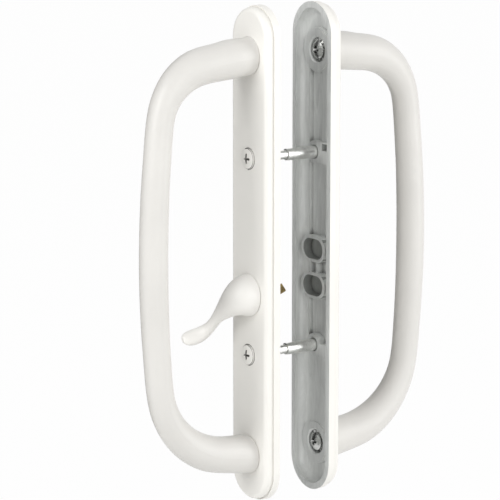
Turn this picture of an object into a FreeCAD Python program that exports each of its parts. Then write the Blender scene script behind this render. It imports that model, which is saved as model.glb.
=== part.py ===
import FreeCAD, Part

import math
import os

# Sliding door handle set with two plates, two D pulls and an inside thumb turn.
# Millimetres. The origin is the middle of the inside plate's mounting plane.
# X runs across the plates, +Y through the door to the outside, and +Z up.

# Plates
plate_width = 32.5
plate_length = 252.4
plate_depth = 8.0
skirt_height = 3.6
skirt_draft = 0.15
shoulder_inset = 1.0
shoulder_radius = 2.5
groove_width = 0.45
groove_depth = 0.35
rim_width = 3.2
web_thickness = 2.4
cove_radius = 4.2
door_gap = 30.7

# Places on the plates
pull_centres = 203.2
screw_centres = 100.0
thumbturn_drop = 19.05

# Castings inside each plate
pad_radius = 10.5
pad_step = 1.0
pad_below_rim = 3.2
pad_seat_thickness = 2.2
counterbore_radius = 6.2
counterbore_chamfer = 0.7
boss_radius = 5.75
boss_below_rim = 1.8
boss_mouth_radius = 3.6
boss_mouth_depth = 2.0
boss_floor = 1.5
boss_web_height = 11.0
boss_pocket_floor = 1.2
boss_pocket_height = 3.6
boss_pocket_wall = 0.7
well_width = 20.3
well_height = 13.5
well_wall = 2.0
well_floor = 1.8
well_below_rim = 1.3
rib_thickness = 1.1
rib_below_rim = 3.6
rib_place = 6.6
ledge_edge_upper = 4.0
ledge_edge_lower = 2.8
slot_rib_spacing = 4.8

# Pulls
pull_standoff = 64.5
foot_radius = 10.0
leg_radius = 9.3
leg_slope = 7.0
bend_radius_upper = 30.5
bend_radius_lower = 43.0
bow_radius = 600.0
neck_radius_x = 7.25
neck_radius_y = 6.65
grip_radius_x = 7.75
grip_radius_y = 6.95
foot_edge = 0.6
tapped_depth = 13.0

# Pull screws and their star washers
pull_screw_radius = 2.4
pull_screw_grip = 10.5
pull_head_radius = 4.6
pull_head_height = 2.7
pull_hole_clearance = 0.35
star_thickness = 0.7
star_outer_radius = 5.95
star_ring_radius = 4.75
star_teeth = 12
star_tooth_width = 1.55
star_twist = 14.0

# Mounting screws and posts
screw_radius = 2.3
screw_engagement = 10.0
screw_head_radius = 5.15
screw_head_side = 1.0
screw_head_cone = 2.4
screw_head_dome = 0.65
screw_rim_proud = 0.9
screw_rim_edge = 0.2
screw_hole_clearance = 0.4
countersink_clearance = 0.1
countersink_ring = 0.4
countersink_ring_depth = 0.8
thread_clearance = 0.05
recess_width = 1.15
recess_reach = 0.55
post_tip_to_inside = 14.7
post_root_radius = 3.15
post_tip_radius = 3.0
post_spigot_radius = 2.6
post_bore_beyond_screw = 3.0

# Thumb turn
journal_radius = 6.0
running_clearance = 0.04
hub_gap = 0.3
bearing_radius = 8.6
bearing_below_rim = 3.6
bearing_gap = 0.15
spring_radius = 8.0
spring_thickness = 0.3
spring_rise = 0.5
spring_clearance = 0.25
ring_thickness = 1.0
ring_outer_radius = 7.7
ring_groove_depth = 0.7
ring_bore_clearance = 0.05
ring_side_play = 0.05
ring_opening = 60.0
ring_lug_radius = 1.5
ring_eye_radius = 0.7
journal_beyond_ring = 0.8
blade_width = 9.0
blade_thickness = 1.8
blade_reach = 14.5
blade_point = 3.7
blade_tip_width = 0.8
blade_clearance = 0.05
blade_floor = 0.9
pin_radius = 0.8
pin_clearance = 0.02
pin_inset = 0.2
lever_rest_angle = 43.0
hub_radius = 10.8
dome_tilt_lead = 0.373919
neck_reach = 18.5
neck_height = 11.2
neck_radius_side = 3.05
neck_radius_up = 2.55
arm_reach = 33.6
arm_height = 24.6
paddle_radius = 4.3
paddle_thin_radius = 2.6

V = FreeCAD.Vector
front = -plate_depth
pull_z = pull_centres / 2
screw_z = screw_centres / 2
cavity_floor = front + web_thickness
cavity_width = plate_width - 2 * rim_width
cavity_length = plate_length - 2 * rim_width


def stadium(width, length, y):
    """Closed outline with round ends, long along Z, in the plane at y."""
    radius = width / 2
    straight = length / 2 - radius
    top = Part.Arc(V(-radius, y, straight), V(0, y, straight + radius), V(radius, y, straight))
    low = Part.Arc(V(radius, y, -straight), V(0, y, -straight - radius), V(-radius, y, -straight))
    right = Part.makeLine(V(radius, y, straight), V(radius, y, -straight))
    left = Part.makeLine(V(-radius, y, -straight), V(-radius, y, straight))
    return Part.Wire([top.toShape(), right, low.toShape(), left])


def stadium_block(width, length, y_from, y_to):
    """Straight block on a stadium outline."""
    face = Part.Face(stadium(width, length, y_from))
    return face.extrude(V(0, y_to - y_from, 0))


def cylinder(radius, x, z, y_from, y_to):
    """Round bar along Y."""
    return Part.makeCylinder(radius, y_to - y_from, V(x, y_from, z), V(0, 1, 0))


def box(x_from, x_to, y_from, y_to, z_from, z_to):
    corner = V(x_from, y_from, z_from)
    return Part.makeBox(x_to - x_from, y_to - y_from, z_to - z_from, corner)


def turned(profile):
    """Solid of revolution about the Y axis from (radius, y) points."""
    points = [V(radius, y, 0) for radius, y in profile]
    face = Part.Face(Part.makePolygon(points + [points[0]]))
    return face.revolve(V(0, 0, 0), V(0, 1, 0), 360)


def edges_at(shape, y, tolerance=1e-3):
    """Edges that lie wholly in the plane at y."""
    chosen = []
    for edge in shape.Edges:
        bounds = edge.BoundBox
        if abs(bounds.YMin - y) < tolerance and abs(bounds.YMax - y) < tolerance:
            chosen.append(edge)
    return chosen


def to_outside(shape):
    """Turn a piece of the inside half about Z and seat it on the door's other face."""
    moved = shape.copy()
    moved.rotate(V(0, 0, 0), V(0, 0, 1), 180)
    moved.translate(V(0, door_gap, 0))
    return moved


def plate_shell():
    """Cast plate: a drafted skirt, a groove, round shoulders and an open back."""
    draft = 2 * skirt_draft
    skirt_wires = [
        stadium(plate_width, plate_length, 0),
        stadium(plate_width - draft, plate_length - draft, -skirt_height),
    ]
    skirt = Part.makeLoft(skirt_wires, True, True)
    inset = 2 * shoulder_inset
    top = stadium_block(plate_width - inset, plate_length - inset, front, 0)
    top = top.makeFillet(shoulder_radius, edges_at(top, front))
    ring_inset = inset - 2 * groove_width
    groove = stadium_block(plate_width - ring_inset, plate_length - ring_inset,
                           -skirt_height, -skirt_height + groove_depth)
    groove = groove.cut(stadium_block(plate_width - inset, plate_length - inset, front, 0))
    cavity = stadium_block(cavity_width, cavity_length, cavity_floor, 0)
    cavity = cavity.makeFillet(cove_radius, edges_at(cavity, cavity_floor))
    return skirt.fuse(top).cut(groove).cut(cavity)


def pull_pads():
    """Round pads that carry the pull screws, each on a slightly wider step."""
    pads = []
    for z in (pull_z, -pull_z):
        pads.append(cylinder(pad_radius, 0, z, cavity_floor - 0.5, -pad_below_rim))
        pads.append(cylinder(pad_radius + pad_step, 0, z, cavity_floor - 0.5, -rib_below_rim))
    return pads


def pull_pad_cuts():
    cuts = []
    seat = front + pad_seat_thickness
    hole = pull_screw_radius + pull_hole_clearance
    for z in (pull_z, -pull_z):
        cuts.append(cylinder(counterbore_radius, 0, z, seat, 0))
        cuts.append(cylinder(hole, 0, z, front, seat))
        mouth = Part.makeCone(counterbore_radius, counterbore_radius + counterbore_chamfer,
                              counterbore_chamfer, V(0, -pad_below_rim - counterbore_chamfer, z),
                              V(0, 1, 0))
        cuts.append(mouth)
    return cuts


def screw_bosses():
    """Tubular bosses at the mounting screws, each tied to one wall by a block as deep.

    The upper block is as tall as its boss, the lower one ends a little above the axis.
    """
    bosses = []
    wall = -plate_width / 2 + rim_width / 2
    half = boss_web_height / 2
    for z, block_top in ((screw_z, half), (-screw_z, boss_pocket_floor)):
        bosses.append(cylinder(boss_radius, 0, z, cavity_floor - 0.5, -boss_below_rim))
        bosses.append(box(wall, 0, cavity_floor - 0.5, -boss_below_rim, z - half, z + block_top))
    return bosses


def web_pocket():
    """Cored pocket between the upper boss and the wall, in the upper half of the block."""
    x_from = -cavity_width / 2
    x_to = -boss_radius - boss_pocket_wall
    z_from = screw_z + boss_pocket_floor
    return box(x_from, x_to, cavity_floor, 0, z_from, z_from + boss_pocket_height)


def well_outline(width, height, z, y):
    """Oval that is wider than tall."""
    turned_wire = stadium(height, width, y)
    turned_wire.rotate(V(0, 0, 0), V(0, 1, 0), 90)
    turned_wire.translate(V(0, 0, z))
    return Part.Face(turned_wire)


def well_wall_block(z):
    outline = well_outline(well_width, well_height, z, cavity_floor - 0.5)
    return outline.extrude(V(0, -well_below_rim - cavity_floor + 0.5, 0))


def well_hollow(z):
    inner_width = well_width - 2 * well_wall
    inner_height = well_height - 2 * well_wall + 1.0
    outline = well_outline(inner_width, inner_height, z, front + well_floor)
    return outline.extrude(V(0, -front - well_floor, 0))


def floor_ledges():
    """Raised floor along the side of the boss blocks, between each boss and the nearest pad."""
    wall = -plate_width / 2 + rim_width / 2
    top = -rib_below_rim
    upper = box(wall, -ledge_edge_upper, cavity_floor - 0.5, top, screw_z, pull_z)
    lower = box(wall, ledge_edge_lower, cavity_floor - 0.5, top, -pull_z, -screw_z)
    return [upper, lower]


def floor_ribs():
    """Long low rib on the web, and the short pair between the two wells."""
    half = rib_thickness / 2
    top = -rib_below_rim
    ribs = [
        box(rib_place - half, rib_place + half, cavity_floor - 0.5, top, 0, pull_z),
        box(rib_place - half, rib_place + half, cavity_floor - 0.5, top, -screw_z, -thumbturn_drop),
    ]
    for x in (-slot_rib_spacing / 2, slot_rib_spacing / 2):
        ribs.append(box(x - half, x + half, cavity_floor - 0.5, -well_below_rim - 0.4,
                        -thumbturn_drop, 0))
    return ribs


def interior_plate():
    """Inside plate, bored for the thumb turn and countersunk for the mounting screws."""
    body = plate_shell()
    bearing = cylinder(bearing_radius, 0, -thumbturn_drop, cavity_floor - 0.5, -bearing_below_rim)
    body = body.fuse(pull_pads() + screw_bosses() + floor_ledges() + floor_ribs()
                     + [well_wall_block(0), bearing])
    room = cylinder(spring_radius + 1.2, 0, -thumbturn_drop, -bearing_below_rim, 0)
    bore = cylinder(journal_radius + running_clearance, 0, -thumbturn_drop, front, 0)
    cuts = pull_pad_cuts() + [web_pocket(), well_hollow(0), room, bore]
    hole = screw_radius + screw_hole_clearance
    seat = front - screw_rim_proud + screw_head_side
    wide = screw_head_radius + countersink_clearance
    ring = screw_head_radius + countersink_ring
    slope = (screw_head_radius - screw_radius) / screw_head_cone
    depth = (wide - hole) / slope
    for z in (screw_z, -screw_z):
        cone = Part.makeCone(wide, hole, depth, V(0, seat, z), V(0, 1, 0))
        cuts.append(cone)
        cuts.append(cylinder(wide, 0, z, front - 1, seat))
        cuts.append(cylinder(ring, 0, z, front - 1, front + countersink_ring_depth))
        cuts.append(cylinder(hole, 0, z, front, 0))
        cuts.append(cylinder(boss_mouth_radius, 0, z, -boss_below_rim - boss_mouth_depth, 0))
    return body.cut(cuts).removeSplitter()


def exterior_plate():
    """Outside plate, with two open wells and a blind socket for each post."""
    body = plate_shell()
    body = body.fuse(pull_pads() + screw_bosses() + floor_ledges() + floor_ribs()
                     + [well_wall_block(0), well_wall_block(-thumbturn_drop)])
    cuts = pull_pad_cuts() + [web_pocket(), well_hollow(0), well_hollow(-thumbturn_drop)]
    for z in (screw_z, -screw_z):
        cuts.append(cylinder(boss_mouth_radius, 0, z, -boss_below_rim - boss_mouth_depth, 0))
        cuts.append(cylinder(post_spigot_radius + thread_clearance, 0, z, front + boss_floor, 0))
    return to_outside(body.cut(cuts).removeSplitter())


def ring_section(radius_x, radius_n, y, z, angle):
    """Ellipse square to a path in the YZ plane, whose tangent is turned by angle from -Y."""
    ellipse = Part.Ellipse(V(0, 0, 0), max(radius_x, radius_n), min(radius_x, radius_n))
    wire = Part.Wire([ellipse.toShape()])
    if radius_n > radius_x:
        wire.rotate(V(0, 0, 0), V(0, 0, 1), 90)
    wire.rotate(V(0, 0, 0), V(1, 0, 0), 90 + angle)
    wire.translate(V(0, y, z))
    return wire


def pull_path(bend_radius):
    """Half of the pull's centreline: leg, bend and the start of the bowed grip.

    The leg is a straight line from the foot that leans towards the middle, the grip is
    a wide arc about a point on the Y axis, and the bend is the arc that touches both.
    """
    slope = math.radians(leg_slope)
    foot = (front, pull_z)
    out = (-math.cos(slope), -math.sin(slope))
    inward = (math.sin(slope), -math.cos(slope))
    bow_centre = bow_radius - pull_standoff
    start_y = foot[0] + inward[0] * bend_radius - bow_centre
    start_z = foot[1] + inward[1] * bend_radius
    along = start_y * out[0] + start_z * out[1]
    excess = start_y ** 2 + start_z ** 2 - (bow_radius - bend_radius) ** 2
    travel = -along + math.sqrt(along ** 2 - excess)
    bend_y = start_y + bow_centre + out[0] * travel
    bend_z = start_z + out[1] * travel
    bow_angle = math.degrees(math.atan2(bend_z, bow_centre - bend_y))
    return foot, travel, (bend_y, bend_z), bow_angle


def ease(low, high, share):
    """Value that leaves low and reaches high with no slope at either end."""
    return low + (high - low) * (1 - math.cos(math.pi * share)) / 2


def pull_sections(bend_radius):
    """Sections of the upper half, from the foot to the middle of the grip."""
    foot, travel, bend, bow_angle = pull_path(bend_radius)
    slope = math.radians(leg_slope)
    sections = [(foot_radius, foot_radius, foot[0], foot[1], 0)]
    leg_steps = 3
    for step in range(1, leg_steps + 1):
        share = step / leg_steps
        radius = foot_radius + (leg_radius - foot_radius) * share
        y = foot[0] - math.cos(slope) * travel * share
        z = foot[1] - math.sin(slope) * travel * share
        sections.append((radius, radius, y, z, leg_slope))
    bend_steps = 7
    for step in range(1, bend_steps + 1):
        share = step / bend_steps
        turn = leg_slope + (90 - bow_angle - leg_slope) * share
        reach = math.radians(turn)
        y = bend[0] - bend_radius * math.sin(reach)
        z = bend[1] + bend_radius * math.cos(reach)
        wide = ease(leg_radius, neck_radius_x, share)
        thick = ease(leg_radius, neck_radius_y, share)
        sections.append((wide, thick, y, z, turn))
    bow_steps = 5
    for step in range(1, bow_steps + 1):
        share = step / bow_steps
        reach = math.radians(bow_angle * (1 - share))
        y = bow_radius - pull_standoff - bow_radius * math.cos(reach)
        z = bow_radius * math.sin(reach)
        wide = ease(neck_radius_x, grip_radius_x, share)
        thick = ease(neck_radius_y, grip_radius_y, share)
        sections.append((wide, thick, y, z, 90 - bow_angle * (1 - share)))
    return sections


def interior_pull():
    """Cast D pull, lofted from foot to foot, with a tapped hole in each foot.

    The lower bend is wider than the upper one.
    """
    upper = pull_sections(bend_radius_upper)
    from_foot = pull_sections(bend_radius_lower)
    lower = [(wide, thick, y, -z, 180 - angle) for wide, thick, y, z, angle in from_foot[-2::-1]]
    wires = [ring_section(*section) for section in upper + lower]
    body = Part.makeLoft(wires, True, False)
    rims = [edge for edge in edges_at(body, front) if edge.Length > foot_radius]
    body = body.makeChamfer(foot_edge, rims)
    radius = pull_screw_radius + thread_clearance
    for z in (pull_z, -pull_z):
        hole = cylinder(radius, 0, z, front - tapped_depth, front)
        drill_point = Part.makeCone(0, radius, radius * 0.6, V(0, front - tapped_depth - radius * 0.6, z),
                                    V(0, 1, 0))
        body = body.cut(hole).cut(drill_point)
    return body


def cross_recess(width, reach, depth, y_top):
    """Tapered cross that is cut into a screw head from above."""
    wings = []
    for turn in (0, 90):
        wires = []
        for y, share in ((y_top, 1.0), (y_top - depth, 0.35)):
            half_length = reach * share
            half_width = width / 2 * (0.6 + 0.4 * share)
            corners = [V(half_length, y, half_width), V(-half_length, y, half_width),
                       V(-half_length, y, -half_width), V(half_length, y, -half_width)]
            wires.append(Part.makePolygon(corners + [corners[0]]))
        wing = Part.makeLoft(wires, True, True)
        wing.rotate(V(0, 0, 0), V(0, 1, 0), turn)
        wings.append(wing)
    return wings[0].fuse(wings[1])


def domed_top(edge_radius, edge_y, rise, steps=5):
    """Points of a shallow dome, from its edge to the axis."""
    sphere = (edge_radius ** 2 + rise ** 2) / (2 * rise)
    half_angle = math.asin(edge_radius / sphere)
    points = []
    for step in range(steps + 1):
        angle = half_angle * (1 - step / steps)
        points.append((sphere * math.sin(angle), edge_y + rise - sphere + sphere * math.cos(angle)))
    return points


def pull_screw(z):
    """Pan head screw that goes from the plate's back into a pull's foot."""
    seat = front + pad_seat_thickness + star_lift() + star_thickness
    length = seat - front + pull_screw_grip
    wall = pull_head_height * 0.45
    chamfer = 0.5
    profile = [(0, -length), (pull_screw_radius - chamfer, -length),
               (pull_screw_radius, -length + chamfer), (pull_screw_radius, 0), (pull_head_radius, 0)]
    profile += domed_top(pull_head_radius, wall, pull_head_height - wall)
    screw = turned(profile)
    screw = screw.cut(cross_recess(recess_width, pull_head_radius * recess_reach,
                                   pull_head_height * 0.7, pull_head_height))
    screw.translate(V(0, seat, z))
    return screw


def star_lift():
    """Height of the washer's flat ring over the seat that its twisted teeth stand on."""
    twist = math.radians(star_twist)
    edge = star_tooth_width / 2 * math.sin(twist) + star_thickness / 2 * math.cos(twist)
    return edge - star_thickness / 2


def star_washer(z):
    """Lock washer with outside teeth that are twisted out of its plane."""
    half = star_thickness / 2
    ring = cylinder(star_ring_radius, 0, 0, -half, half)
    tooth = box(star_ring_radius - 0.1, star_outer_radius, -half, half,
                -star_tooth_width / 2, star_tooth_width / 2)
    tooth.rotate(V(0, 0, 0), V(1, 0, 0), star_twist)
    teeth = []
    for index in range(star_teeth):
        copy = tooth.copy()
        copy.rotate(V(0, 0, 0), V(0, 1, 0), 360 * index / star_teeth)
        teeth.append(copy)
    hole = cylinder(pull_screw_radius + 0.15, 0, 0, -2 * half, 2 * half)
    washer = ring.fuse(teeth).cut(hole).removeSplitter()
    washer.translate(V(0, front + pad_seat_thickness + star_lift() + half, z))
    return washer


def mounting_screw(z):
    """Thick rimmed countersunk screw that goes through the inside plate into a post."""
    rim = front - screw_rim_proud
    tip = post_tip_to_inside + screw_engagement
    length = tip - rim
    chamfer = 0.4
    profile = [(0, -length), (screw_radius - chamfer, -length), (screw_radius, -length + chamfer),
               (screw_radius, -screw_head_side - screw_head_cone), (screw_head_radius, -screw_head_side),
               (screw_head_radius, -screw_rim_edge)]
    profile += domed_top(screw_head_radius - screw_rim_edge, 0, screw_head_dome)
    screw = turned(profile)
    screw = screw.cut(cross_recess(recess_width, screw_head_radius * recess_reach,
                                   screw_head_side + screw_head_cone * 0.6, screw_head_dome))
    screw.rotate(V(0, 0, 0), V(1, 0, 0), 180)
    screw.translate(V(0, rim, z))
    return screw


def mounting_post(z):
    """Turned steel post: a spigot in the outside plate's boss and a tapered, tapped sleeve."""
    tip = post_tip_to_inside
    shoulder = door_gap + boss_below_rim + boss_mouth_depth
    spigot_end = door_gap + plate_depth - boss_floor - 0.1
    screw_tip = tip + screw_engagement
    bore_end = min(screw_tip + post_bore_beyond_screw, shoulder - 1.0)
    bore_radius = screw_radius + thread_clearance
    chamfer = 0.25
    profile = [(bore_radius + chamfer, tip), (post_tip_radius - chamfer, tip),
               (post_tip_radius, tip + chamfer), (post_root_radius, shoulder),
               (post_spigot_radius, shoulder), (post_spigot_radius, spigot_end),
               (0, spigot_end), (0, bore_end + 1.0), (bore_radius, bore_end),
               (bore_radius, tip + chamfer)]
    post = turned(profile)
    post.translate(V(0, 0, z))
    return post


def arm_section(radius_side, radius_up, reach, height, tilt):
    """Ellipse across the lever's arm.

    The arm is laid out straight down from the turning axis: reach is the distance from
    that axis, height the distance from the plate's face, and tilt the angle between the
    arm's direction and the axis.
    """
    wide = max(radius_side, radius_up)
    narrow = min(radius_side, radius_up)
    wire = Part.Wire([Part.Ellipse(V(0, 0, 0), wide, narrow).toShape()])
    if radius_up > radius_side:
        wire.rotate(V(0, 0, 0), V(0, 0, 1), 90)
    wire.rotate(V(0, 0, 0), V(1, 0, 0), 90 + tilt)
    wire.translate(V(0, front - height, -reach))
    return wire


def on_thumbturn_axis(shape, angle=0):
    """Turn a piece about the Y axis, then move it to the thumb turn's axis."""
    shape.rotate(V(0, 0, 0), V(0, 1, 0), angle)
    shape.translate(V(0, 0, -thumbturn_drop))
    return shape


def ring_groove_start():
    """Y of the retaining ring's front face, behind the bearing and the spring washer."""
    return -bearing_below_rim + bearing_gap + spring_thickness + spring_rise


def journal_end():
    return ring_groove_start() + ring_thickness + journal_beyond_ring


def pin_y():
    """The cross pin lies half way along the bearing, which holds it in."""
    return (front - bearing_below_rim) / 2


def cross_pin_bar(radius, half_length):
    return Part.makeCylinder(radius, 2 * half_length, V(-half_length, pin_y(), 0), V(1, 0, 0))


def lever_arm():
    """Hub, arm and upturned paddle as one loft, with the arm pointing straight down."""
    shoulder_side = (hub_radius + neck_radius_side) * 0.39
    shoulder_up = (hub_radius + neck_radius_up) * 0.28
    dome_step = math.atan2(hub_radius * (0.28 - 0.05), neck_height * (0.6 - 0.21))
    dome_tilt = math.degrees(dome_step) + dome_tilt_lead
    rise = arm_height - neck_height
    run = arm_reach - neck_reach
    side = neck_radius_side
    wide = paddle_radius
    thin = paddle_thin_radius
    sections = [
        (hub_radius, hub_radius, 0, hub_gap, 0),
        (hub_radius * 0.965, hub_radius * 0.965, hub_radius * 0.05, neck_height * 0.21, 6),
        (hub_radius * 0.8, hub_radius * 0.72, hub_radius * 0.28, neck_height * 0.6, dome_tilt),
        (shoulder_side, shoulder_up, neck_reach * 0.55, neck_height * 0.87, 64),
        (side, neck_radius_up, neck_reach, neck_height, 83),
        (side * 1.02, thin, neck_reach + run * 0.44, neck_height + rise * 0.06, 72),
        (wide * 0.95, thin, neck_reach + run * 0.78, neck_height + rise * 0.3, 42),
        (wide, thin * 0.94, neck_reach + run * 0.93, neck_height + rise * 0.62, 16),
        (wide * 0.78, thin * 0.76, neck_reach + run * 0.98, neck_height + rise * 0.88, 8),
        (wide * 0.3, thin * 0.34, arm_reach, arm_height, 6),
    ]
    wires = [arm_section(*section) for section in sections]
    return Part.makeLoft(wires, True, False)


def thumbturn_lever():
    """Cast lever: hub, arm and paddle over a grooved, slotted and cross drilled journal."""
    arm = on_thumbturn_axis(lever_arm(), lever_rest_angle)
    end = journal_end()
    journal = cylinder(journal_radius, 0, 0, front - hub_gap - 1.0, end)
    journal = journal.makeChamfer(0.4, edges_at(journal, end))
    groove_end = ring_groove_start() + ring_thickness + 2 * ring_side_play
    groove = cylinder(journal_radius + 1, 0, 0, ring_groove_start(), groove_end)
    groove = groove.cut(cylinder(journal_radius - ring_groove_depth, 0, 0, front, 0))
    half_width = blade_width / 2 + blade_clearance
    half_thick = blade_thickness / 2 + blade_clearance
    slot = box(-half_thick, half_thick, front + blade_floor, end + 1, -half_width, half_width)
    drilling = cross_pin_bar(pin_radius + pin_clearance, journal_radius + 1)
    journal = journal.cut([groove, slot, drilling])
    return arm.fuse(on_thumbturn_axis(journal, lever_rest_angle)).removeSplitter()


def thumbturn_tailpiece():
    """Flat blade in line with the arm that reaches into the lock, with a blunt point."""
    base = front + blade_floor + blade_clearance
    half = blade_width / 2
    half_tip = blade_tip_width / 2
    x = -blade_thickness / 2
    corners = [V(x, base, -half), V(x, blade_reach - blade_point, -half), V(x, blade_reach, -half_tip),
               V(x, blade_reach, half_tip), V(x, blade_reach - blade_point, half), V(x, base, half)]
    blade = Part.Face(Part.makePolygon(corners + [corners[0]])).extrude(V(blade_thickness, 0, 0))
    blade = blade.cut(cross_pin_bar(pin_radius + pin_clearance, journal_radius))
    return on_thumbturn_axis(blade, lever_rest_angle)


def thumbturn_pin():
    """Cross pin that ties the blade to the journal."""
    pin = cross_pin_bar(pin_radius, journal_radius - pin_inset)
    return on_thumbturn_axis(pin, lever_rest_angle)


def thumbturn_spring_washer():
    """Washer bowed about X that takes up the play behind the bearing."""
    thickness = spring_thickness
    bow = (spring_radius ** 2 + spring_rise ** 2) / (2 * spring_rise)
    back = ring_groove_start()
    centre = V(-2 * spring_radius, back - bow, 0)
    outer = Part.makeCylinder(bow, 4 * spring_radius, centre, V(1, 0, 0))
    inner = Part.makeCylinder(bow - thickness, 4 * spring_radius, centre, V(1, 0, 0))
    tube = cylinder(spring_radius, 0, 0, back - 3, back + 1)
    tube = tube.cut(cylinder(journal_radius + spring_clearance, 0, 0, back - 4, back + 2))
    return on_thumbturn_axis(tube.common(outer.cut(inner)))


def thumbturn_retaining_ring():
    """Open ring that snaps into the journal's groove, with an eyed lug at each end."""
    start = ring_groove_start() + ring_side_play
    end = start + ring_thickness
    inner = journal_radius - ring_groove_depth + ring_bore_clearance
    ring = cylinder(ring_outer_radius, 0, 0, start, end)
    half = math.radians(ring_opening / 2)
    middle = (ring_outer_radius + inner) / 2
    lugs = []
    eyes = []
    for side in (-1, 1):
        x = side * (middle + 0.2) * math.sin(half)
        z = (middle + 0.2) * math.cos(half)
        lugs.append(cylinder(ring_lug_radius, x, z, start, end))
        eyes.append(cylinder(ring_eye_radius, x, z, start, end))
    reach = 2 * ring_outer_radius
    corners = [V(0, start, 0), V(-reach * math.sin(half), start, reach * math.cos(half)),
               V(reach * math.sin(half), start, reach * math.cos(half))]
    gap = Part.Face(Part.makePolygon(corners + [corners[0]])).extrude(V(0, ring_thickness, 0))
    bore = cylinder(inner, 0, 0, start, end)
    ring = ring.cut(gap).fuse(lugs).cut([bore] + eyes).removeSplitter()
    return on_thumbturn_axis(ring)


def build():
    """Every piece under its own name."""
    upper = pull_z
    lower = -pull_z
    return {
        "interior_plate": interior_plate(),
        "interior_pull": interior_pull(),
        "interior_pull_screw_upper": pull_screw(upper),
        "interior_pull_screw_lower": pull_screw(lower),
        "interior_star_washer_upper": star_washer(upper),
        "interior_star_washer_lower": star_washer(lower),
        "thumbturn_lever": thumbturn_lever(),
        "thumbturn_tailpiece": thumbturn_tailpiece(),
        "thumbturn_pin": thumbturn_pin(),
        "thumbturn_spring_washer": thumbturn_spring_washer(),
        "thumbturn_retaining_ring": thumbturn_retaining_ring(),
        "mounting_screw_upper": mounting_screw(screw_z),
        "mounting_screw_lower": mounting_screw(-screw_z),
        "mounting_post_upper": mounting_post(screw_z),
        "mounting_post_lower": mounting_post(-screw_z),
        "exterior_plate": exterior_plate(),
        "exterior_pull": to_outside(interior_pull()),
        "exterior_pull_screw_upper": to_outside(pull_screw(upper)),
        "exterior_pull_screw_lower": to_outside(pull_screw(lower)),
        "exterior_star_washer_upper": to_outside(star_washer(upper)),
        "exterior_star_washer_lower": to_outside(star_washer(lower)),
    }


def main():
    os.makedirs("parts", exist_ok=True)
    for name, shape in build().items():
        if not shape.isValid() or len(shape.Solids) != 1:
            raise RuntimeError(f"{name}: valid {shape.isValid()}, solids {len(shape.Solids)}")
        shape.Solids[0].exportStep(f"parts/{name}.step")


if __name__ == "__main__":
    main()
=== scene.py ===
import math

import bpy
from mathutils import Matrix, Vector


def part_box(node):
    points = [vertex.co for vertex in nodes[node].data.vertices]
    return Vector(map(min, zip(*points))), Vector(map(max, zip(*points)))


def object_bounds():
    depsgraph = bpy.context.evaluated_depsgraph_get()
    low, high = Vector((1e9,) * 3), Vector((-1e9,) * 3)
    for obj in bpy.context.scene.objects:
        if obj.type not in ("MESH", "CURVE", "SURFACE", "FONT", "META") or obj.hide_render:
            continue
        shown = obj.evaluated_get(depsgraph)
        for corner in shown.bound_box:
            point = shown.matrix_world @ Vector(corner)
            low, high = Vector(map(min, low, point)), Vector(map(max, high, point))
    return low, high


bl_info = {
    "name": "Sliding door handle set",
    "version": (1, 0, 0),
    "blender": (4, 5, 0),
    "location": "3D View > Sidebar > Handle set",
    "description": "Finishes, light and camera for a sliding door handle set",
    "category": "Object",
}

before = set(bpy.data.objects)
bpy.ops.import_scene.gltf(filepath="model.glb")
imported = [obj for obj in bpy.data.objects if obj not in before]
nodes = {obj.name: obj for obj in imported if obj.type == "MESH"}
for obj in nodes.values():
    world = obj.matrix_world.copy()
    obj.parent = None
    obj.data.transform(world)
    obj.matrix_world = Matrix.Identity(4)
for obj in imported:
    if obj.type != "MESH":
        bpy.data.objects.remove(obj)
cad_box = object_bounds()

MM = 0.001
ROOM_SIDE = -1
OUTDOOR_SIDE = 1

# Where one finish of a casting ends and the next begins, and where painted shade darkens the wells and the
# screw holes
FACE_TOLERANCE = 0.05 * MM
OUTER_WALL = 2 * MM
WELL_RIM_DEPTH = 1.4 * MM
WELL_HALF_WIDTH = 8.4 * MM
WELL_HALF_HEIGHT = 5.3 * MM
SCREW_HOLE_RADIUS = 5.7 * MM

# Where the enamel of a mounting screw gives way to bare steel and to painted shade, from its axis and from
# the plate's face
SCREW_EDGE_RADIUS = 4.9 * MM
SCREW_RECESS_RADIUS = 3.0 * MM
SCREW_SHANK_RADIUS = 2.0 * MM
RECESS_RIM_HEIGHT = 0.8 * MM
SCREW_CONE_DEPTH = 1.0 * MM
SCREW_SHANK_DEPTH = 3.0 * MM

# How much of a screw face looks along the axis, from 0 for a side wall to 1 for a flat
RECESS_WALL_FACING = 0.6
EDGE_LEAST_FACING = 0.5
EDGE_MOST_FACING = 0.85

# Painted shade in corners: the openness of a fully shaded and of an unshaded spot, its reach and its
# darkest tone
FULLY_SHADED_OPENNESS = 0.12
UNSHADED_OPENNESS = 0.66
ZINC_PAINTED_SHADE_REACH = 3.6 * MM
ZINC_PAINTED_SHADE_DARKEST = 0.22
SCREW_PAINTED_SHADE_REACH = 2.5 * MM
SCREW_PAINTED_SHADE_DARKEST = 0.04

plate_low, plate_high = (Vector(corner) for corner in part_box("interior_plate"))
outer_low = Vector(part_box("exterior_plate")[0])


def axis_height(node_name):
    """Height of the middle of a piece that lies along Y."""
    low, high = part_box(node_name)
    return (low[2] + high[2]) / 2


blade_low, blade_high = (Vector(corner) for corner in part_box("thumbturn_tailpiece"))
turn_height = (blade_low.z + blade_high.z) / 2
screw_heights = {
    "mounting_screw_upper": axis_height("mounting_screw_upper"),
    "mounting_screw_lower": axis_height("mounting_screw_lower"),
}


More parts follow.
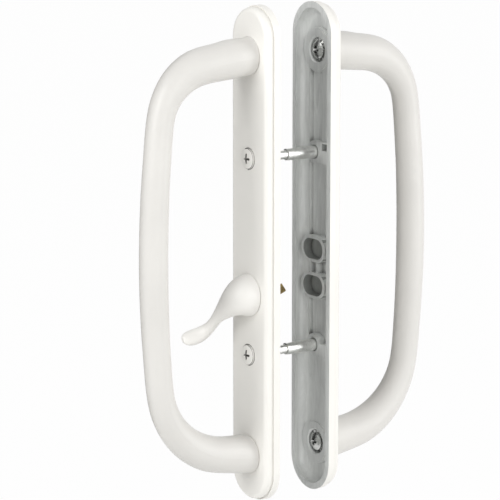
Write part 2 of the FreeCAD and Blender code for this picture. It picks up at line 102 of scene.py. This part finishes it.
class DoorsetFinishes(bpy.types.PropertyGroup):
    """Colours and surface detail of the set's finishes."""

    plate_enamel: bpy.props.FloatVectorProperty(
        name="Plate enamel", description="White enamel on plates and mounting screws",
        subtype="COLOR", size=3, min=0, max=1, default=(0.87, 0.855, 0.815))
    # The plates' white enamel made greyer on the pulls: painted shade
    shaded_pull_enamel: bpy.props.FloatVectorProperty(
        name="Shaded pull enamel", description="White enamel on pulls, a little greyer than the plates",
        subtype="COLOR", size=3, min=0, max=1, default=(0.70, 0.685, 0.655))
    lever_enamel: bpy.props.FloatVectorProperty(
        name="Lever enamel", description="White enamel on the thumb turn's lever",
        subtype="COLOR", size=3, min=0, max=1, default=(0.86, 0.845, 0.81))
    enamel_roughness: bpy.props.FloatProperty(
        name="Enamel roughness", description="How dull the enamel is",
        subtype="FACTOR", min=0, max=1, default=0.42)
    orange_peel: bpy.props.FloatProperty(
        name="Orange peel", description="Height of the enamel's ripple",
        subtype="DISTANCE", unit="LENGTH", min=0, default=0.000012)
    zinc: bpy.props.FloatVectorProperty(
        name="Cast zinc", description="Bare casting inside the plates",
        subtype="COLOR", size=3, min=0, max=1, default=(0.725, 0.735, 0.72))
    # Darker copy of the cast zinc: painted shade in the wells and the screw holes
    shaded_well_zinc: bpy.props.FloatVectorProperty(
        name="Shaded zinc in the wells", description="Zinc darkened as painted shade inside the open wells and screw holes",
        subtype="COLOR", size=3, min=0, max=1, default=(0.36, 0.37, 0.355))
    zinc_grain: bpy.props.FloatProperty(
        name="Casting grain", description="Height of the casting's grain",
        subtype="DISTANCE", unit="LENGTH", min=0, default=0.00004)
    bright_zinc: bpy.props.FloatVectorProperty(
        name="Bright zinc plate", description="Plating on screws and star washers",
        subtype="COLOR", size=3, min=0, max=1, default=(0.58, 0.585, 0.57))
    steel: bpy.props.FloatVectorProperty(
        name="Turned steel", description="Mounting posts and the mounting screws' shanks",
        subtype="COLOR", size=3, min=0, max=1, default=(0.86, 0.86, 0.84))
    # Dark worn steel: partly bare metal, partly painted shade in the cross recesses and round the head
    # edges
    worn_shaded_steel: bpy.props.FloatVectorProperty(
        name="Worn and shaded steel", description="Cross recesses and head edges of the mounting screws",
        subtype="COLOR", size=3, min=0, max=1, default=(0.29, 0.285, 0.27))
    spring_steel: bpy.props.FloatVectorProperty(
        name="Spring steel", description="Retaining ring, spring washer and cross pin",
        subtype="COLOR", size=3, min=0, max=1, default=(0.23, 0.22, 0.21))
    brass: bpy.props.FloatVectorProperty(
        name="Brass", description="Tailpiece blade",
        subtype="COLOR", size=3, min=0, max=1, default=(0.50, 0.36, 0.15))


class DoorsetView(bpy.types.PropertyGroup):
    """Camera, floor and light."""

    azimuth: bpy.props.FloatProperty(
        name="Azimuth", description="Camera's angle from -Y towards +X",
        subtype="ANGLE", unit="ROTATION", default=math.radians(55.02))
    elevation: bpy.props.FloatProperty(
        name="Elevation", description="Camera's angle above the floor",
        subtype="ANGLE", unit="ROTATION", default=math.radians(10.86))
    distance: bpy.props.FloatProperty(
        name="Distance", description="Camera to the point it looks at",
        subtype="DISTANCE", unit="LENGTH", min=0.1, default=1.3)
    lens: bpy.props.FloatProperty(
        name="Lens", description="Focal length in millimetres on a 36 mm frame",
        unit="CAMERA", min=10, default=185.18)
    target_x: bpy.props.FloatProperty(
        name="Target X", description="Point that the camera looks at",
        subtype="DISTANCE", unit="LENGTH", default=-10.12 * MM)
    target_z: bpy.props.FloatProperty(
        name="Target Z", description="Point that the camera looks at",
        subtype="DISTANCE", unit="LENGTH", default=1.30 * MM)
    floor_drop: bpy.props.FloatProperty(
        name="Floor drop", description="Floor below the plates' lower ends",
        subtype="DISTANCE", unit="LENGTH", min=0, default=0.17)
    floor_size: bpy.props.FloatProperty(
        name="Floor size", description="Side of the floor",
        subtype="DISTANCE", unit="LENGTH", min=1, default=16.0)
    floor_white: bpy.props.FloatProperty(
        name="Floor white", description="How far the floor is seen as plain white, which hides its shadows",
        subtype="FACTOR", min=0, max=1, default=0.97)
    surround_light: bpy.props.FloatProperty(
        name="Surround light", description="Light that the white surroundings throw on the set",
        min=0, default=0.62)


class NodeBoard:
    """A material's node tree, with short calls to add and join nodes."""

    def __init__(self, name):
        self.material = bpy.data.materials.new(name)
        self.material.use_nodes = True
        self.tree = self.material.node_tree
        self.tree.nodes.clear()
        self.output = self.add("ShaderNodeOutputMaterial", "Output", (900, 0))
        self.shader = self.add("ShaderNodeBsdfPrincipled", "Surface", (600, 0))
        self.join(self.shader, "BSDF", self.output, "Surface")
        self.place = self.add("ShaderNodeTexCoord", "Place", (-1200, 0))

    def add(self, kind, label, location, **settings):
        node = self.tree.nodes.new(kind)
        node.label = label
        node.location = location
        for name, value in settings.items():
            setattr(node, name, value)
        return node

    def join(self, source, output, target, socket):
        self.tree.links.new(source.outputs[output], target.inputs[socket])

    def scaled(self, label, scale, location):
        """Object coordinates stretched along the axes, in metres."""
        mapping = self.add("ShaderNodeMapping", label, location)
        mapping.inputs["Scale"].default_value = scale
        self.join(self.place, "Object", mapping, "Vector")
        return mapping

    def noise(self, label, source, output, scale, detail, roughness, location):
        node = self.add("ShaderNodeTexNoise", label, location)
        node.inputs["Scale"].default_value = scale
        node.inputs["Detail"].default_value = detail
        node.inputs["Roughness"].default_value = roughness
        self.join(source, output, node, "Vector")
        return node

    def ramp(self, label, source, output, stops, location):
        node = self.add("ShaderNodeValToRGB", label, location)
        elements = node.color_ramp.elements
        while len(elements) < len(stops):
            elements.new(0.5)
        for element, (position, colour) in zip(elements, stops):
            element.position = position
            element.color = colour
        self.join(source, output, node, "Fac")
        return node

    def range(self, label, source, output, low, high, location):
        """Spread a 0 to 1 value between two limits."""
        node = self.add("ShaderNodeMapRange", label, location)
        node.inputs["To Min"].default_value = low
        node.inputs["To Max"].default_value = high
        self.join(source, output, node, "Value")
        return node

    def corner_painted_shade(self, label, source, output, reach, darkest, location):
        """The source's colour, darkened as painted shade where the piece's own walls stand close round a
        spot.

        The Mix node's colour sockets go by their place: 6 and 7 are its inputs, 2 is its output.
        """
        left, top = location
        nearness = self.add("ShaderNodeAmbientOcclusion", "Nearness of walls", (left - 550, top + 300))
        nearness.only_local = True
        nearness.samples = 8
        nearness.inputs["Distance"].default_value = reach
        share = self.add("ShaderNodeMapRange", "Share of unshaded colour", (left - 300, top + 300))
        share.inputs["From Min"].default_value = FULLY_SHADED_OPENNESS
        share.inputs["From Max"].default_value = UNSHADED_OPENNESS
        share.inputs["To Min"].default_value = darkest
        share.inputs["To Max"].default_value = 1.0
        self.join(nearness, "AO", share, "Value")
        tint = self.add("ShaderNodeMix", label, location, data_type="RGBA", blend_type="MULTIPLY")
        tint.inputs["Factor"].default_value = 1.0
        self.tree.links.new(source.outputs[output], tint.inputs[6])
        self.tree.links.new(share.outputs["Result"], tint.inputs[7])
        return tint

    def bump(self, label, source, output, height, location, before=None):
        """Bump whose full height is given in metres, laid over an earlier one."""
        node = self.add("ShaderNodeBump", label, location)
        node.inputs["Strength"].default_value = 1.0
        node.inputs["Distance"].default_value = height
        self.join(source, output, node, "Height")
        if before is not None:
            self.join(before, "Normal", node, "Normal")
        return node


def opaque(colour, factor=1.0):
    """A colour with full alpha, made lighter or darker by a factor."""
    return tuple(min(channel * factor, 1.0) for channel in colour) + (1.0,)


def enamel_material(name, tint, finishes):
    """Satin white enamel: faint ripple, slow shifts of tone and dull and glossy patches."""
    board = NodeBoard(name)
    tone = board.noise("Tone", board.place, "Object", 28, 3, 0.5, (-900, 250))
    colour = board.ramp("Enamel", tone, "Fac",
                        [(0.30, opaque(tint, 0.975)), (0.70, opaque(tint, 1.02))],
                        (-500, 250))
    board.join(colour, "Color", board.shader, "Base Color")
    patches = board.noise("Gloss patches", board.place, "Object", 140, 4, 0.6, (-900, -50))
    gloss = board.range("Gloss", patches, "Fac", finishes.enamel_roughness - 0.05,
                        finishes.enamel_roughness + 0.07, (-500, -50))
    board.join(gloss, "Result", board.shader, "Roughness")
    peel = board.noise("Orange peel", board.place, "Object", 700, 2, 0.5, (-900, -350))
    dust = board.noise("Fine grit", board.place, "Object", 5200, 2, 0.6, (-900, -600))
    ripple = board.bump("Ripple", peel, "Fac", finishes.orange_peel, (-300, -350))
    grit = board.bump("Grit", dust, "Fac", finishes.orange_peel * 0.12, (0, -450), ripple)
    board.join(grit, "Normal", board.shader, "Normal")
    board.shader.inputs["Specular IOR Level"].default_value = 0.45
    board.shader.inputs["Coat Weight"].default_value = 0.12
    board.shader.inputs["Coat Roughness"].default_value = 0.20
    return board.material


def cast_zinc_material(name, tint, finishes):
    """Bare die cast zinc: mottled grey with flow marks, grain and small pits, darkened as painted shade in
    its corners.
    """
    board = NodeBoard(name)
    flow = board.scaled("Flow", (260, 260, 45), (-1000, 300))
    streaks = board.noise("Flow marks", flow, "Vector", 1.0, 5, 0.62, (-750, 300))
    streaks.inputs["Distortion"].default_value = 1.3
    colour = board.ramp("Zinc", streaks, "Fac",
                        [(0.25, opaque(tint, 0.86)), (0.50, opaque(tint, 1.0)),
                         (0.75, opaque(tint, 1.12))], (-450, 300))
    # Painted shade: the zinc is darkened where its own walls close in round a spot
    painted_shade = board.corner_painted_shade("Painted shade", colour, "Color", ZINC_PAINTED_SHADE_REACH, ZINC_PAINTED_SHADE_DARKEST,
                               (-150, 300))
    board.tree.links.new(painted_shade.outputs[2], board.shader.inputs["Base Color"])
    board.shader.inputs["Metallic"].default_value = 0.5
    dull = board.noise("Dull patches", board.place, "Object", 320, 5, 0.7, (-750, 0))
    rough = board.range("Dullness", dull, "Fac", 0.50, 0.74, (-450, 0))
    board.join(rough, "Result", board.shader, "Roughness")
    grain = board.noise("Grain", board.place, "Object", 2600, 4, 0.65, (-750, -300))
    pits = board.add("ShaderNodeTexVoronoi", "Pits", (-750, -600))
    pits.inputs["Scale"].default_value = 900
    board.join(board.place, "Object", pits, "Vector")
    pit_shape = board.ramp("Pit depth", pits, "Distance",
                           [(0.0, (0, 0, 0, 1)), (0.16, (1, 1, 1, 1))], (-450, -600))
    skin = board.bump("Skin", grain, "Fac", finishes.zinc_grain, (-100, -300))
    holes = board.bump("Holes", pit_shape, "Color", finishes.zinc_grain * 0.5, (200, -400), skin)
    board.join(holes, "Normal", board.shader, "Normal")
    return board.material


def metal_material(name, colour, roughness, grain_scale, grain_height, painted_shade_reach=0):
    """Bare metal with a directed grain, and with painted shade in its corners if that has a reach.

    grain_scale is finest across the grain.
    """
    board = NodeBoard(name)
    along = board.scaled("Grain direction", grain_scale, (-1000, 0))
    lines = board.noise("Grain", along, "Vector", 1.0, 4, 0.6, (-750, 0))
    stain = board.noise("Stain", board.place, "Object", 420, 4, 0.6, (-750, 300))
    tint = board.ramp("Tint", stain, "Fac",
                      [(0.30, opaque(colour, 0.86)), (0.70, opaque(colour, 1.10))], (-450, 300))
    board.join(tint, "Color", board.shader, "Base Color")
    if painted_shade_reach:
        painted_shade = board.corner_painted_shade("Painted shade", tint, "Color", painted_shade_reach, SCREW_PAINTED_SHADE_DARKEST, (0, 300))
        board.tree.links.new(painted_shade.outputs[2], board.shader.inputs["Base Color"])
    gloss = board.range("Gloss", lines, "Fac", roughness - 0.08, roughness + 0.10, (-450, 0))
    board.join(gloss, "Result", board.shader, "Roughness")
    relief = board.bump("Relief", lines, "Fac", grain_height, (0, -300))
    board.join(relief, "Normal", board.shader, "Normal")
    board.shader.inputs["Metallic"].default_value = 1.0
    return board.material


def dress(node_name, material):
    """Put one material on a whole piece."""
    piece = nodes[node_name]
    piece.data.materials.clear()
    piece.data.materials.append(material)
    return piece


class DOORSET_OT_plates(bpy.types.Operator):
    """Enamel both plates outside, leave their backs as bare cast zinc, and paint shade into the wells and
    screw holes
    """

    bl_idname = "doorset.plates"
    bl_label = "Plates"

    def execute(self, context):
        finishes = context.scene.doorset_finishes
        enamel = enamel_material("plate_enamel", finishes.plate_enamel, finishes)
        zinc = cast_zinc_material("plate_cast_zinc", finishes.zinc, finishes)
        # Darker copy of the zinc, painted shade for the wells and the countersunk screw holes
        shaded_zinc = cast_zinc_material("plate_shaded_zinc", finishes.shaded_well_zinc, finishes)
        for node_name, side in (("interior_plate", ROOM_SIDE), ("exterior_plate", OUTDOOR_SIDE)):
            plate = dress(node_name, enamel)
            plate.data.materials.append(zinc)
            plate.data.materials.append(shaded_zinc)
            for polygon in plate.data.polygons:
                if self.is_enamelled(polygon, side):
                    polygon.material_index = 0
                else:
                    polygon.material_index = 2 if self.is_painted_shade(polygon.center, side) else 1
        return {"FINISHED"}

    def is_enamelled(self, polygon, side):
        """True on the front, the shoulders and the outer walls of a plate."""
        half_width = (plate_high.x - plate_low.x) / 2
        straight = (plate_high.z - plate_low.z) / 2 - half_width
        past_end = max(abs(polygon.center.z) - straight, 0)
        from_middle = math.hypot(polygon.center.x, past_end)
        facing = polygon.normal.y * side
        if side == ROOM_SIDE and self.in_screw_hole(polygon.center):
            return False
        return facing > 0.02 or (from_middle > half_width - OUTER_WALL and facing > -0.5)

    def is_painted_shade(self, place, side):
        """True where the zinc gets painted shade: in the wells and in the screw holes."""
        return self.in_well(place, side) or (side == ROOM_SIDE and self.in_screw_hole(place))

    @staticmethod
    def in_well(place, side):
        """True below the rim of an open well: the outside plate has two, the inside plate one."""
        mount = plate_high.y if side == ROOM_SIDE else outer_low.y
        if abs(place.y - mount) < WELL_RIM_DEPTH or abs(place.x) > WELL_HALF_WIDTH:
            return False
        centres = (0, turn_height) if side == OUTDOOR_SIDE else (0,)
        return any(abs(place.z - centre) < WELL_HALF_HEIGHT for centre in centres)

    @staticmethod
    def in_screw_hole(place):
        """True inside the inside plate's two countersunk holes, which have no enamel."""
        if place.y < plate_low.y + FACE_TOLERANCE:
            return False
        return any(math.hypot(place.x, place.z - height) < SCREW_HOLE_RADIUS
                   for height in screw_heights.values())


class DOORSET_OT_pulls(bpy.types.Operator):
    """Enamel both D pulls"""

    bl_idname = "doorset.pulls"
    bl_label = "Pulls"

    def execute(self, context):
        finishes = context.scene.doorset_finishes
        # Painted shade: the pulls get a greyer copy of the white enamel
        enamel = enamel_material("shaded_pull_enamel", finishes.shaded_pull_enamel, finishes)
        dress("interior_pull", enamel)
        dress("exterior_pull", enamel)
        return {"FINISHED"}


class DOORSET_OT_lever(bpy.types.Operator):
    """Enamel the thumb turn's lever"""

    bl_idname = "doorset.lever"
    bl_label = "Thumb turn lever"

    def execute(self, context):
        finishes = context.scene.doorset_finishes
        dress("thumbturn_lever", enamel_material("lever_enamel", finishes.lever_enamel, finishes))
        return {"FINISHED"}


class DOORSET_OT_tailpiece(bpy.types.Operator):
    """Rolled brass on the tailpiece"""

    bl_idname = "doorset.tailpiece"
    bl_label = "Tailpiece"

    def execute(self, context):
        finishes = context.scene.doorset_finishes
        dress("thumbturn_tailpiece",
              metal_material("tailpiece_brass", finishes.brass, 0.34, (4000, 160, 4000), 0.000006))
        return {"FINISHED"}


class DOORSET_OT_lever_fixings(bpy.types.Operator):
    """Dark spring steel on the ring, the spring washer and the cross pin"""

    bl_idname = "doorset.lever_fixings"
    bl_label = "Lever fixings"

    def execute(self, context):
        finishes = context.scene.doorset_finishes
        steel = metal_material("fixing_spring_steel", finishes.spring_steel, 0.36,
                               (2500, 2500, 2500), 0.000006)
        for node_name in ("thumbturn_retaining_ring", "thumbturn_spring_washer", "thumbturn_pin"):
            dress(node_name, steel)
        return {"FINISHED"}


class DOORSET_OT_pull_screws(bpy.types.Operator):
    """Bright zinc plate on the pull screws and their star washers"""

    bl_idname = "doorset.pull_screws"
    bl_label = "Pull screws and washers"

    def execute(self, context):
        finishes = context.scene.doorset_finishes
        # Painted shade darkens the pull screws where their own walls close in, as in the head's recess
        head = metal_material("pull_screw_plating", finishes.bright_zinc, 0.26,
                              (2200, 600, 2200), 0.000007, SCREW_PAINTED_SHADE_REACH)
        star = metal_material("star_washer_plating", finishes.bright_zinc, 0.22,
                              (1500, 1500, 1500), 0.000008)
        for side in ("interior", "exterior"):
            for end in ("upper", "lower"):
                dress(f"{side}_pull_screw_{end}", head)
                dress(f"{side}_star_washer_{end}", star)
        return {"FINISHED"}


class DOORSET_OT_posts(bpy.types.Operator):
    """Turned steel on the mounting posts"""

    bl_idname = "doorset.posts"
    bl_label = "Mounting posts"

    def execute(self, context):
        finishes = context.scene.doorset_finishes
        steel = metal_material("post_turned_steel", finishes.steel, 0.28, (60, 5200, 60), 0.000010)
        for end in ("upper", "lower"):
            dress(f"mounting_post_{end}", steel)
        return {"FINISHED"}


class DOORSET_OT_mounting_screws(bpy.types.Operator):
    """Give the mounting screws an enamelled head and a bare steel shank"""

    bl_idname = "doorset.mounting_screws"
    bl_label = "Mounting screws"

    def execute(self, context):
        finishes = context.scene.doorset_finishes
        enamel = enamel_material("mounting_screw_enamel", finishes.plate_enamel, finishes)
        steel = metal_material("mounting_screw_steel", finishes.steel, 0.27, (60, 4200, 60), 0.000006)
        worn_shaded = metal_material("mounting_screw_recess_shade", finishes.worn_shaded_steel, 0.45, (900, 900, 900), 0.00001)
        for node_name, height in screw_heights.items():
            self.bare_metal(dress(node_name, enamel), height, steel, worn_shaded)
        return {"FINISHED"}

    @staticmethod
    def bare_metal(screw, axis_z, steel, worn_shaded):
        """Bare steel on the shank, and worn steel darkened as painted shade in the cross recess and on the
        head's edge.
        """
        screw.data.materials.append(steel)
        screw.data.materials.append(worn_shaded)
        for polygon in screw.data.polygons:
            place = polygon.center
            off_axis = math.hypot(place.x, place.z - axis_z)
            depth = place.y - plate_low.y
            facing = abs(polygon.normal.y)
            on_cone = depth > SCREW_CONE_DEPTH and off_axis > SCREW_SHANK_RADIUS
            below_rim = depth > -RECESS_RIM_HEIGHT or facing < RECESS_WALL_FACING
            in_recess = off_axis < SCREW_RECESS_RADIUS and below_rim
            on_edge = off_axis > SCREW_EDGE_RADIUS and EDGE_LEAST_FACING < facing < EDGE_MOST_FACING
            if on_cone or depth > SCREW_SHANK_DEPTH:
                polygon.material_index = 1
            # Painted shade: the cross recess and the head's edge get the dark worn steel
            elif in_recess or on_edge:
                polygon.material_index = 2
            else:
                polygon.material_index = 0


class DOORSET_OT_stage(bpy.types.Operator):
    """Floor, soft light, white surroundings and the camera"""

    bl_idname = "doorset.stage"
    bl_label = "Stage"

    def execute(self, context):
        view = context.scene.doorset_view
        self.floor(view)
        self.surroundings(context.scene, view)
        self.lamps()
        self.black_card()
        self.camera(context.scene, view)
        context.scene.view_settings.view_transform = "Standard"
        return {"FINISHED"}

    @staticmethod
    def seen_ray(tree, location):
        """1 for rays that the eye, a reflection or a clear body follows, else 0."""
        path = tree.nodes.new("ShaderNodeLightPath")
        path.location = location
        total = None
        for index, ray in enumerate(("Is Camera Ray", "Is Glossy Ray", "Is Transmission Ray")):
            if total is None:
                total = path.outputs[ray]
                continue
            larger = tree.nodes.new("ShaderNodeMath")
            larger.operation = "MAXIMUM"
            larger.location = (location[0] + 200 * index, location[1])
            tree.links.new(total, larger.inputs[0])
            tree.links.new(path.outputs[ray], larger.inputs[1])
            total = larger.outputs[0]
        return total

    def floor(self, view):
        half = view.floor_size / 2
        height = cad_box[0][2] - view.floor_drop
        mesh = bpy.data.meshes.new("floor")
        corners = [(-half, -half, height), (half, -half, height),
                   (half, half, height), (-half, half, height)]
        mesh.from_pydata(corners, [], [(0, 1, 2, 3)])
        floor = bpy.data.objects.new("floor", mesh)
        bpy.context.collection.objects.link(floor)
        material = bpy.data.materials.new("floor_paper")
        material.use_nodes = True
        tree = material.node_tree
        tree.nodes.clear()
        output = tree.nodes.new("ShaderNodeOutputMaterial")
        blend = tree.nodes.new("ShaderNodeMixShader")
        paper = tree.nodes.new("ShaderNodeBsdfDiffuse")
        paper.inputs["Color"].default_value = (0.88, 0.88, 0.87, 1)
        white = tree.nodes.new("ShaderNodeEmission")
        white.inputs["Strength"].default_value = 1.0
        share = tree.nodes.new("ShaderNodeMath")
        share.operation = "MULTIPLY"
        share.inputs[1].default_value = view.floor_white
        tree.links.new(self.seen_ray(tree, (-800, 0)), share.inputs[0])
        tree.links.new(share.outputs[0], blend.inputs["Fac"])
        tree.links.new(paper.outputs[0], blend.inputs[1])
        tree.links.new(white.outputs[0], blend.inputs[2])
        tree.links.new(blend.outputs[0], output.inputs["Surface"])
        mesh.materials.append(material)

    def surroundings(self, scene, view):
        world = bpy.data.worlds.new("studio")
        world.use_nodes = True
        scene.world = world
        tree = world.node_tree
        background = tree.nodes["Background"]
        background.inputs["Color"].default_value = (1, 1, 1, 1)
        strength = tree.nodes.new("ShaderNodeMapRange")
        strength.inputs["To Min"].default_value = view.surround_light
        strength.inputs["To Max"].default_value = 1.0
        tree.links.new(self.seen_ray(tree, (-800, 0)), strength.inputs["Value"])
        tree.links.new(strength.outputs["Result"], background.inputs["Strength"])

    @staticmethod
    def direction(azimuth, elevation):
        """Unit vector at an angle from -Y towards +X and an angle above the floor, in degrees."""
        flat = math.cos(math.radians(elevation))
        turn = math.radians(azimuth)
        return Vector((math.sin(turn) * flat, -math.cos(turn) * flat, math.sin(math.radians(elevation))))

    def lamps(self):
        """Soft boxes: (name, azimuth, elevation, distance, width, height, watts)."""
        boxes = (
            ("front_softbox", 4, 24, 1.6, 0.8, 1.0, 13.0),
            ("side_softbox", 80, 10, 1.6, 0.5, 1.2, 3.6),
            ("back_softbox", 132, 12, 1.5, 0.8, 1.3, 9.0),
        )
        for name, azimuth, elevation, distance, width, height, power in boxes:
            light = bpy.data.lights.new(name, "AREA")
            light.shape = "RECTANGLE"
            light.size = width
            light.size_y = height
            light.energy = power
            lamp = bpy.data.objects.new(name, light)
            towards = self.direction(azimuth, elevation)
            lamp.location = towards * distance
            lamp.rotation_euler = (-towards).to_track_quat("-Z", "Y").to_euler()
            bpy.context.collection.objects.link(lamp)

    def black_card(self):
        """Card at the left that keeps the surroundings' light off and draws dark edges."""
        distance = 0.38
        half_width = 0.30
        half_height = 0.42
        towards = self.direction(-70, 6)
        middle = towards * distance
        across = Vector((-towards.y, towards.x, 0)).normalized() * half_width
        up = Vector((0, 0, half_height))
        mesh = bpy.data.meshes.new("black_card")
        corners = [middle - across - up, middle + across - up, middle + across + up, middle - across + up]
        mesh.from_pydata([tuple(corner) for corner in corners], [], [(0, 1, 2, 3)])
        card = bpy.data.objects.new("black_card", mesh)
        bpy.context.collection.objects.link(card)
        material = bpy.data.materials.new("black_card_felt")
        material.use_nodes = True
        felt = material.node_tree.nodes["Principled BSDF"]
        felt.inputs["Base Color"].default_value = (0.03, 0.03, 0.03, 1)
        felt.inputs["Roughness"].default_value = 0.95
        mesh.materials.append(material)
        card.visible_camera = False

    @staticmethod
    def camera(scene, view):
        flat = math.cos(view.elevation)
        back = Vector((math.sin(view.azimuth) * flat, -math.cos(view.azimuth) * flat,
                       math.sin(view.elevation)))
        target = Vector((view.target_x, 0, view.target_z))
        data = bpy.data.cameras.new("photo_camera")
        data.sensor_width = 36
        data.lens = view.lens
        data.clip_end = 100
        camera = bpy.data.objects.new("photo_camera", data)
        camera.location = target + back * view.distance
        camera.rotation_euler = (-back).to_track_quat("-Z", "Y").to_euler()
        bpy.context.collection.objects.link(camera)
        scene.camera = camera


class DOORSET_PT_panel(bpy.types.Panel):
    """Sizes, finishes and steps of the handle set"""

    bl_label = "Handle set"
    bl_idname = "DOORSET_PT_panel"
    bl_space_type = "VIEW_3D"
    bl_region_type = "UI"
    bl_category = "Handle set"

    def draw(self, context):
        layout = self.layout
        for group in (context.scene.doorset_finishes, context.scene.doorset_view):
            column = layout.column(align=True)
            for name in group.__annotations__:
                column.prop(group, name)
        for step in STEPS:
            layout.operator(step.bl_idname)


GROUPS = (
    ("doorset_finishes", DoorsetFinishes),
    ("doorset_view", DoorsetView),
)
STEPS = (
    DOORSET_OT_plates,
    DOORSET_OT_pulls,
    DOORSET_OT_lever,
    DOORSET_OT_tailpiece,
    DOORSET_OT_lever_fixings,
    DOORSET_OT_pull_screws,
    DOORSET_OT_posts,
    DOORSET_OT_mounting_screws,
    DOORSET_OT_stage,
)


def register():
    for name, group in GROUPS:
        bpy.utils.register_class(group)
        setattr(bpy.types.Scene, name, bpy.props.PointerProperty(type=group))
    for step in STEPS:
        bpy.utils.register_class(step)
    bpy.utils.register_class(DOORSET_PT_panel)


def unregister():
    bpy.utils.unregister_class(DOORSET_PT_panel)
    for step in reversed(STEPS):
        bpy.utils.unregister_class(step)
    for name, group in reversed(GROUPS):
        delattr(bpy.types.Scene, name)
        bpy.utils.unregister_class(group)


def main():
    register()
    bpy.ops.doorset.plates()
    bpy.ops.doorset.pulls()
    bpy.ops.doorset.lever()
    bpy.ops.doorset.tailpiece()
    bpy.ops.doorset.lever_fixings()
    bpy.ops.doorset.pull_screws()
    bpy.ops.doorset.posts()
    bpy.ops.doorset.mounting_screws()
    bpy.ops.doorset.stage()


if __name__ == "__main__":
    main()
